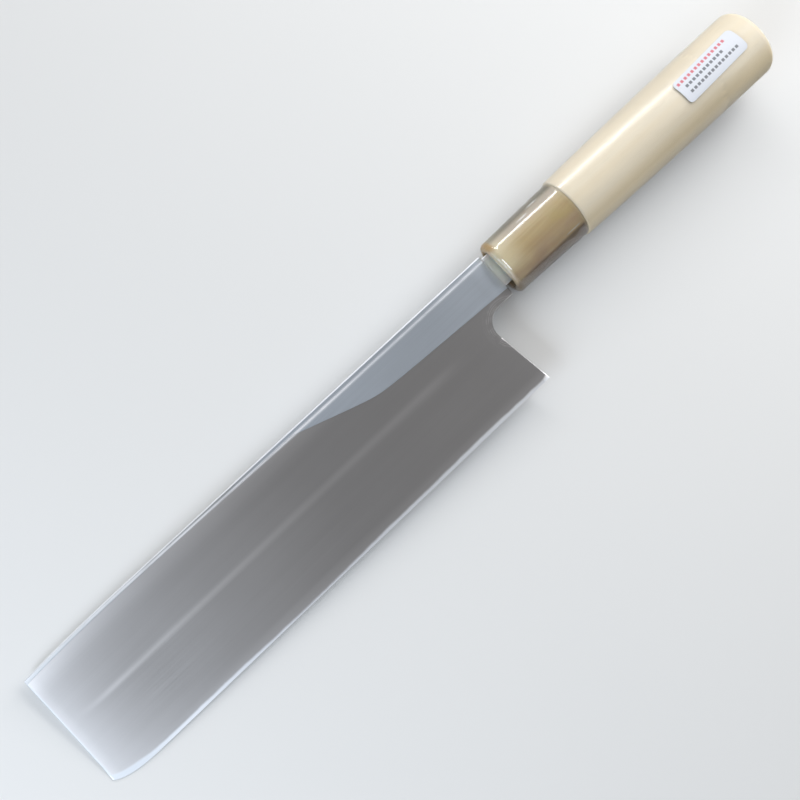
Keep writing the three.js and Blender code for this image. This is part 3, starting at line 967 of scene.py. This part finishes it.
# What is added to the tone of the hollow
EDGE_SIDE_TONE = (EDGE_RIM, EDGE_RIM + 4, 0.2, 0)  # from the edge
EDGE_SIDE_START = (20, 60)  # along x
SPINE_SIDE_TONE = (1, 10, 0.32, 0)  # from the spine
TIP_SIDE_TONE = (0.5, 5, 0.12, 0)  # from the tip
PALER_STRETCH = (84, 48)  # middle and half width along x
PALER_STRETCH_TONE = 0.1
CHOIL_SCRATCH_TONE = 0.4
HEEL_SHADE = (160, 205, 0, 0.06)  # along x, taken away

RIM_PALING = (4, 40)  # from the tip
RIM_ROUGHNESS = 0.58
POLISHED_ROUGHNESS = 0.22


def hard_steel():
    """Satin hollow with fine lines along the blade, lapped rims at the edge and tip, polished bevel below,
    and painted highlights along the hollow, along the spine and on the eased chamfers.
    """
    f = Finish("hard_steel", Metallic=1)
    from_edge = edge_distance(f)
    from_tip = tip_distance(f)
    above = f.band(f.up, *UPPER_FACES)
    lines = f.noise((70, 0.35, 2), detail=3, roughness=0.6)
    bands = f.noise((160, 4.5, 4))
    cloud = f.noise((26, 17, 9), detail=3)

    # painted highlight on the eased chamfers, which fades up the heel
    heel_highlight_reach = f.pick(f.band(f.x, *HEEL_HALF), 1, f.band(f.y, *HEEL_HIGHLIGHT_REACH))
    eased_highlight = f.band(f.up, *EASED_FACES) * heel_highlight_reach
    nicks = f.band(f.noise((0.35, 1.6, 9), detail=1), *NICKS) * f.band(from_edge, *NICK_REACH)
    # painted highlight along the spine, with a bump where the land falls off
    spine_highlight, worn_height = spine_line(f)
    # rim: the real lapped rims, tip lap and nicks, and the painted highlights along the spine and on the
    # eased chamfers
    rim = f.most(lapped_rim(f, from_edge), f.band(from_tip, *TIP_LAP), spine_highlight, eased_highlight, nicks) * above

    lighter = f.band(from_edge, *EDGE_SIDE_TONE) * f.band(f.x, *EDGE_SIDE_START)
    lighter += f.band(spine_distance(f), *SPINE_SIDE_TONE)
    lighter += f.band(from_tip, *TIP_SIDE_TONE)
    lighter += f.line(f.x, *PALER_STRETCH) * PALER_STRETCH_TONE
    lighter += choil_scratches(f) * CHOIL_SCRATCH_TONE
    # painted highlight along the hollow
    lighter += painted_streak_highlight(f, from_edge)
    lighter -= f.band(f.x, *HEEL_SHADE)
    tone = lines * 0.1 + bands * 0.06 + 0.88 + cloud * 0.08 + lighter * above

    satin = f.tint(rgb(191, 189, 189), tone)
    polished = f.tint(rgb(205, 208, 212), tone)
    rim_colour = f.blend(f.band(from_tip, *RIM_PALING), rgb(208, 211, 215), rgb(232, 234, 238))
    f.drive(Base_Color=f.blend(rim, f.blend(above, polished, satin), rim_colour))
    roughness = f.pick(above, POLISHED_ROUGHNESS, lines * 0.08 + 0.32)
    f.drive(Roughness=f.pick(rim, roughness, RIM_ROUGHNESS))
    f.drive(Normal=f.bump(worn_height * above, SPINE_WEAR, f.bump(lines, distance=0.004)))
    return f.material


# Painted highlight on the slope down to the tang:
TANG_STEP_HIGHLIGHT = (SHOULDER_X + 0.5, 0.9)  # middle and half width along x of the bright step to the tang
TANG_STEP_HIGHLIGHT_REACH = (AXIS_Y - 5, AXIS_Y - 1.5, 0.9, 0)
# strength of the painted highlight on the eased chamfers
EASED_SHINE = 0.8
BEVEL_BORDER = (BEVEL_HEIGHT - 0.2, BEVEL_HEIGHT, 1, 0)  # from the edge
TANG_BORDER = (SHOULDER_X - 0.2, SHOULDER_X + 0.1)
LAND_SHADE = (150, 195, 0, 0.13)  # along x, taken away
# Painted light on the land near the shoulder, lifting the shade of the horn there:
NECK_PAINTED_LIGHT = (213, SHOULDER_X, 0, 0.3)
LAND_COOLING = (90, 130)
TANG_ROUGHNESS = 0.45
BRIGHT_ROUGHNESS = 0.55


def soft_iron():
    """Land and spine on the hollow side, satin flat and hazy bevel on the other, duller tang, with painted
    highlights at the step to the tang, along the spine and on the eased chamfers, and painted shade and light
    along the land.
    """
    f = Finish("soft_iron", Metallic=1)
    above = f.band(f.up, *UPPER_FACES)
    bevel = f.band(edge_distance(f), *BEVEL_BORDER) * f.band(f.up, *LOWER_FACES)
    tang = f.band(f.x, *TANG_BORDER)
    lines = f.noise((60, 0.3, 3), detail=3, roughness=0.6)
    cross = f.noise((0.35, 40, 3), detail=3, roughness=0.6)
    cloud = f.noise((22, 9, 9), detail=3)
    grind = f.pick(bevel, lines, cross)

    # painted highlight on the slope down to the tang
    step = f.line(f.x, *TANG_STEP_HIGHLIGHT) * f.band(f.y, *TANG_STEP_HIGHLIGHT_REACH)
    # painted highlight along the spine, with a bump where the land falls off
    spine_highlight, worn_height = spine_line(f)
    # painted highlight on the eased chamfers
    eased_highlight = f.band(f.up, *EASED_FACES) * above
    # painted highlights of the tang step, the spine and the eased chamfers, in one pale colour
    bright = f.most(f.most(step, spine_highlight) * above, eased_highlight * EASED_SHINE)

    # painted shade along the land, less the painted light near the shoulder
    painted_shade_and_light = f.band(f.x, *LAND_SHADE) - f.band(f.x, *NECK_PAINTED_LIGHT)
    tone = grind * 0.14 + 0.86 + cloud * 0.07 - painted_shade_and_light * above
    land = f.blend(f.band(f.x, *LAND_COOLING), rgb(200, 202, 204), rgb(226, 235, 246))
    colour = f.blend(bevel, f.tint(land, tone), f.tint(rgb(196, 199, 202), tone))
    colour = f.blend(tang, colour, f.tint(rgb(226, 234, 244), tone))
    f.drive(Base_Color=f.blend(bright, colour, rgb(246, 248, 252)))
    roughness = f.pick(bevel, lines * 0.1 + 0.36, cloud * 0.12 + 0.44)
    roughness = f.pick(tang, roughness, TANG_ROUGHNESS)
    f.drive(Roughness=f.pick(bright, roughness, BRIGHT_ROUGHNESS))
    f.drive(Normal=f.bump(worn_height * above, SPINE_WEAR, f.bump(grind, distance=0.005)))
    return f.material


# Finishes of the handle

PORES = (0.66, 0.74)
BUTT_SHADE = (270, 310, 0, 0.08)  # along x, taken away
# Painted shade: a warmer, darker tint on the edge's side
EDGE_SIDE_PAINTED_SHADE = (-4, -11, 0, 0.7)  # beside the axis, towards the edge's side


def magnolia():
    """Pale wood with faint growth lines and pores, with painted shade as a warmer tint on the edge's side and
    painted shade towards the butt.
    """
    f = Finish("magnolia", Specular_IOR_Level=0.4)
    bands = f.noise((120, 3.2, 4.5), distortion=0.6)
    fibres = f.noise((22, 0.32, 0.32), detail=3, roughness=0.65)
    pores = f.band(f.noise((5, 0.16, 0.16), detail=1), *PORES)
    rings = f.noise((60, 1.3, 6), distortion=0.3)
    tone = bands * 0.12 + fibres * 0.1 + 0.86 + rings * 0.06 - pores * 0.07 - f.band(f.x, *BUTT_SHADE)
    colour = f.blend(bands, rgb(239, 229, 208), rgb(227, 212, 183))
    # painted shade on the edge's side
    colour = f.blend(f.band(f.y - AXIS_Y, *EDGE_SIDE_PAINTED_SHADE), colour, rgb(232, 212, 170))
    f.drive(Base_Color=f.tint(colour, tone), Roughness=fibres * 0.18 + 0.42)
    f.drive(Normal=f.bump(fibres - pores, distance=0.02))
    return f.material


def blond_horn():
    """Blond horn with streaks along it: cream at the front, yellow towards the grip, rosy and then dark on
    the edge's side. On the spine's side a painted sheen and then painted shade, at the front a painted orange
    reflection, and painted light at the joint."""
    f = Finish("blond_horn", Specular_IOR_Level=0.5, Subsurface_Weight=0.1, Subsurface_Scale=2 * MM)
    streaks = f.noise((40, 3.2, 3), detail=3, roughness=0.55, distortion=0.7)
    fine = f.noise((16, 0.5, 0.5), detail=3, roughness=0.6)
    clouds = f.noise((11, 7, 7))
    behind = f.x - FRONT_X
    side = f.y - AXIS_Y
    yellow = f.band(clouds, 0.42, 0.7) * f.band(behind, 14, 26) * 0.7
    rosy = f.band(side, 2, -7) * f.band(clouds, 0.65, 0.35, 0.45, 1) * 0.8
    dark = f.band(side + streaks * 1.5, -6.4, -8) * 0.85
    # painted sheen beside the film's highlight, then painted shade out to the spine's side
    painted_sheen_spine_side = f.band(side, 5.5, 8, 0, 0.9)
    painted_shade_spine_side = f.band(side, 9, 10.6, 0, 0.9)
    cream = f.band(behind, 0.8, 12, 0.7, 0) * f.band(side, -5, -1, 0.15, 1) * f.band(side, 8, 10, 1, 0.4)
    # painted reflection of light caught in the crumpled film at the front, on the spine's side
    painted_amber_reflection = f.band(behind, 1.2, 3, 1, 0) * f.band(side, 5.5, 8.5) * 0.85
    # painted light on the horn's last stretch, against the shade of the step up to the grip
    painted_light_at_joint = f.band(behind, FERRULE_LENGTH - 1.5, FERRULE_LENGTH - 0.3, 0, 0.35)
    colour = f.blend(f.band(streaks, 0.3, 0.75), rgb(190, 170, 129), rgb(175, 152, 109))
    for share, over in (
        (yellow, rgb(176, 157, 103)),
        (rosy, rgb(154, 128, 106)),
        (dark, rgb(84, 66, 50)),
        # painted sheen, then painted shade, on the spine's side
        (painted_sheen_spine_side, rgb(174, 163, 148)),
        (painted_shade_spine_side, rgb(92, 84, 60)),
        (cream, rgb(214, 203, 170)),
        # painted reflection in the film at the front
        (painted_amber_reflection, rgb(170, 130, 50)),
        # painted light at the joint
        (painted_light_at_joint, rgb(214, 199, 164)),
    ):
        colour = f.blend(share, colour, over)
    f.drive(Base_Color=f.tint(colour, fine * 0.09 + 0.955), Roughness=fine * 0.15 + 0.26)
    f.drive(Normal=f.bump(fine, distance=0.008))
    return f.material


FILM_CREASES = (
    # beside the axis, from and to behind the front, and how much more it mirrors
    (-7.4, 3, 25, 0.10),
    (-7.2, 23, 32, 0.40),
    (8.6, 13.5, 20, 0.4),
    (10.0, 20, 26.5, 0.4),
)
CREASE_HALF_WIDTH = 0.3
CREASE_START = 3  # length over which a crease sets in
CREASE_END = 2
CREASE_WANDER = 0.8
CREASED_FACES = (0.1, 0.3)


def film_creases(f):
    """How much more the film mirrors along the creases on top of the ferrule."""
    behind = f.x - FRONT_X
    side = f.y - AXIS_Y + (f.noise_along(12) - 0.5) * CREASE_WANDER
    creases = 0
    for middle, start, end, more in FILM_CREASES:
        along = f.band(behind, start, start + CREASE_START, 0, more)
        along *= f.band(behind, end - CREASE_END, end, 1, 0)
        creases += f.line(side, middle, CREASE_HALF_WIDTH) * along
    return creases * f.band(f.up, *CREASED_FACES)


FILM_ON_WOOD = (JOINT_X - 2, JOINT_X + 6, 0.04, 0.19)  # roughness along x
FILM_SLACK = (BUTT_X - 30, BUTT_X - 6)
SLACK_ROUGHNESS = 0.4
CREASE_ROUGHNESS = (0.2, 0.8, 0.02, 0.08)
SLACK_LOSS = 0.65  # share of the mirroring that slack film loses
SLANT_POWER = 5


def clear_film():
    """Clear film that lets light through and mirrors more at a slant, with fine creases. It is rougher on
    the wood than on the horn, and slack and dull towards the butt."""
    f = Finish("clear_film", Metallic=1, Base_Color=(1, 1, 1, 1))
    creases = f.noise((14, 1.6, 1.6), detail=3, roughness=0.6, distortion=0.5)
    ripples = f.noise((50, 5, 5), detail=1)
    normal = f.bump(creases * 0.25 + ripples, distance=0.12)
    folded = film_creases(f)
    slack = f.band(f.x, *FILM_SLACK)
    dull = f.band(f.x, *FILM_ON_WOOD) + slack * SLACK_ROUGHNESS
    f.drive(Roughness=f.band(creases, *CREASE_ROUGHNESS) + dull + folded, Normal=normal)
    slant = f.node("LayerWeight", "Facing", {"Blend": 0.5, "Normal": normal})
    mirrored = f.math("POWER", slant, SLANT_POWER) * 0.22 + 0.05
    mirrored = mirrored * (1 - slack * SLACK_LOSS) + folded
    clear = f.node("BsdfTransparent", 0)
    mirror = Value(f, f.shader.outputs[0])
    mixed = f.node("MixShader", 0, {0: mirrored, 1: clear, 2: mirror})
    f.feed(f.tree.nodes["Material Output"].inputs["Surface"], mixed)
    return f.material


PRINT_PITCH = 1.8
PRINT_HEIGHT = 1.1
PRINT_SOFTNESS = 0.12
PRINT_STRENGTH = 0.8
RED_INK = rgb(206, 70, 84)
GREY_INK = rgb(78, 82, 88)
PRINT_ROWS = (
    # across the label, length of a mark, from and to along the label, ink
    (3.3, 1.1, -14.4, 10.8, RED_INK),
    (0.9, 1.2, -12.6, 7.2, GREY_INK),
    (-1.7, 1.2, -12.6, 12.6, GREY_INK),
)


def label_paper():
    """White gummed paper with a dotted red rule and two rows of plain grey dashes."""
    f = Finish("label_paper", Specular_IOR_Level=0.35)
    back = f.x - LABEL_X
    over = f.y - (AXIS_Y - (f.x - JOINT_X) * HANDLE_LEAN) - LABEL_SHIFT
    along = back * math.cos(LABEL_TURN) + over * math.sin(LABEL_TURN)
    across = over * math.cos(LABEL_TURN) - back * math.sin(LABEL_TURN)
    fibre = f.noise((0.5, 0.5, 0.5), detail=3)
    colour = f.tint(rgb(218, 221, 228), fibre * 0.05 + 0.97)
    beat = abs((f.math("FRACT", along / PRINT_PITCH) - 0.5) * PRINT_PITCH)

    def within(distance, size):
        half = size / 2
        return f.band(distance, half - PRINT_SOFTNESS, half + PRINT_SOFTNESS, 1, 0)

    for row, length, start, end, ink in PRINT_ROWS:
        mark = within(beat, length) * within(abs(across - row), PRINT_HEIGHT)
        begun = f.band(along, start - PRINT_SOFTNESS, start)
        span = begun * f.band(along, end, end + PRINT_SOFTNESS, 1, 0)
        colour = f.blend(mark * span * PRINT_STRENGTH, colour, ink)
    f.drive(Base_Color=colour, Roughness=fibre * 0.15 + 0.42, Normal=f.bump(fibre, distance=0.01))
    return f.material


# Studio, in metres

FLOOR_HALF_SIDE = 3
FLOOR_DROP = 0.0002
FLOOR_MOTTLE_SCALE = 3


def pale_floor():
    """A floor that is pale to the camera and in mirrors, and gives back less light otherwise."""
    f = Finish("pale_floor", Specular_IOR_Level=0.2, Roughness=0.7)
    inputs = {"Vector": f.node("TexCoord", "Object"), "Scale": FLOOR_MOTTLE_SCALE, "Detail": 2}
    mottle = f.node("TexNoise", 0, inputs)
    pale = f.tint(rgb(226, 226, 225), mottle * 0.04 + 0.98)
    rays = ("Is Camera Ray", "Is Glossy Ray", "Is Transmission Ray")
    seen = f.most(*[f.node("LightPath", ray) for ray in rays])
    f.drive(Base_Color=f.blend(seen, rgb(80, 80, 80), pale))
    return f.material


def add_floor():
    half = FLOOR_HALF_SIDE
    level = cad_box[0].z - FLOOR_DROP
    corners = [(-half, -half, level), (half, -half, level), (half, half, level), (-half, half, level)]
    mesh = bpy.data.meshes.new("floor")
    mesh.from_pydata(corners, [], [(0, 1, 2, 3)])
    mesh.materials.append(pale_floor())
    floor = bpy.data.objects.new("floor", mesh)
    bpy.context.scene.collection.objects.link(floor)


def add_softbox(name, aim, direction, distance, along, size, radiance, colour):
    """A rectangular lamp that faces a point, its long side along a direction. Radiance 1 mirrors as white."""
    lamp = bpy.data.lights.new(name, "AREA")
    lamp.shape = "RECTANGLE"
    lamp.size, lamp.size_y = size
    lamp.energy = radiance * math.pi * size[0] * size[1]
    lamp.color = colour
    holder = bpy.data.objects.new(name, lamp)
    back = Vector(direction).normalized()
    side = Vector(along)
    side = (side - back * side.dot(back)).normalized()
    holder.location = Vector(aim) + back * distance
    holder.rotation_euler = Matrix((side, back.cross(side), back)).transposed().to_euler()
    bpy.context.scene.collection.objects.link(holder)


LENGTHWISE = (0.75, -0.5, 0.4)
CROSSWISE = (0, 1, 0)
COOL = (0.8, 0.89, 1.0)
WHITE = (1.0, 1.0, 1.0)
SOFTBOXES = (
    # name, direction, distance, long side, size, radiance, colour
    ("tip_softbox", (-0.78, -0.12, 0.6), 0.6, CROSSWISE, (0.5, 0.36), 6.5, COOL),
    ("butt_softbox", (0.8, 0.05, 0.6), 0.65, CROSSWISE, (0.5, 0.5), 4.75, WHITE),
    ("spine_strip", (0.4, 0.7, 0.6), 0.6, LENGTHWISE, (0.6, 0.06), 9.0, WHITE),
)


def add_lamps():
    """A cool softbox beyond the tip, a white one beyond the butt and a narrow strip beside the spine."""
    blade_tip = REST @ Vector((0, TIP_HEIGHT / 2, 0))
    handle = REST @ Vector((lerp(FRONT_X, BUTT_X, 0.5), AXIS_Y, AXIS_Z))
    for aim, (name, *lamp) in zip((blade_tip, handle, handle), SOFTBOXES):
        add_softbox(name, aim, *lamp)


HORIZON = 0.26
ROOM_CHANGES = (
    # axis of the direction, from and to along it, and the light there
    ("Z", 0.1, 0.75, 0.215),
    ("Y", 0.15, 0.95, 0.9),
    ("Y", -0.2, -0.8, 0.22),
)


def add_room():
    """Even light that fades a little overhead and on the edge's side and grows towards the spine's side."""
    world = bpy.data.worlds.new("room")
    bpy.context.scene.world = world
    world.use_nodes = True
    room = Nodes(world.node_tree)
    direction = room.node("TexCoord", "Generated")
    light = HORIZON
    for axis, low, high, far in ROOM_CHANGES:
        part = room.node("SeparateXYZ", axis, {0: direction})
        light = room.pick(room.band(part, low, high), light, far)
    room.feed(room.tree.nodes["Background"].inputs["Color"], light)


# Camera in the knife's frame, fitted to the photograph, which has this many pixels on a side
IMAGE_SIDE = 800
FOCAL_PIXELS = 847.4
SENSOR = 36
CAMERA_PLACE = Vector((144.31, 40.59, 304.97))
CAMERA_TURN = Euler([math.radians(a) for a in (1.343, -3.892, -43.346)])
NEAREST_SEEN = 0.01


def add_camera():
    lens = bpy.data.cameras.new("camera")
    lens.sensor_width = SENSOR
    lens.lens = SENSOR * FOCAL_PIXELS / IMAGE_SIDE
    lens.clip_start = NEAREST_SEEN
    camera = bpy.data.objects.new("camera", lens)
    camera.location = REST @ CAMERA_PLACE
    camera.rotation_euler = (REST.to_quaternion() @ CAMERA_TURN.to_quaternion()).to_euler()
    bpy.context.scene.collection.objects.link(camera)
    bpy.context.scene.camera = camera


add_camera()
add_piece(joined(iron_mesh(), tang_mesh()), soft_iron(), "blade_body", sharp=20)
add_piece(steel_mesh(), hard_steel(), "edge_steel", sharp=20)
add_piece(ferrule_mesh(), blond_horn(), "horn_ferrule")
add_piece(grip_mesh(), magnolia(), "grip")
add_piece(film_mesh(), clear_film(), "shrink_film", sharp=60)
add_piece(label_mesh(), label_paper(), "label")
add_floor()
add_lamps()
add_room()
bpy.context.scene.view_settings.view_transform = "Standard"
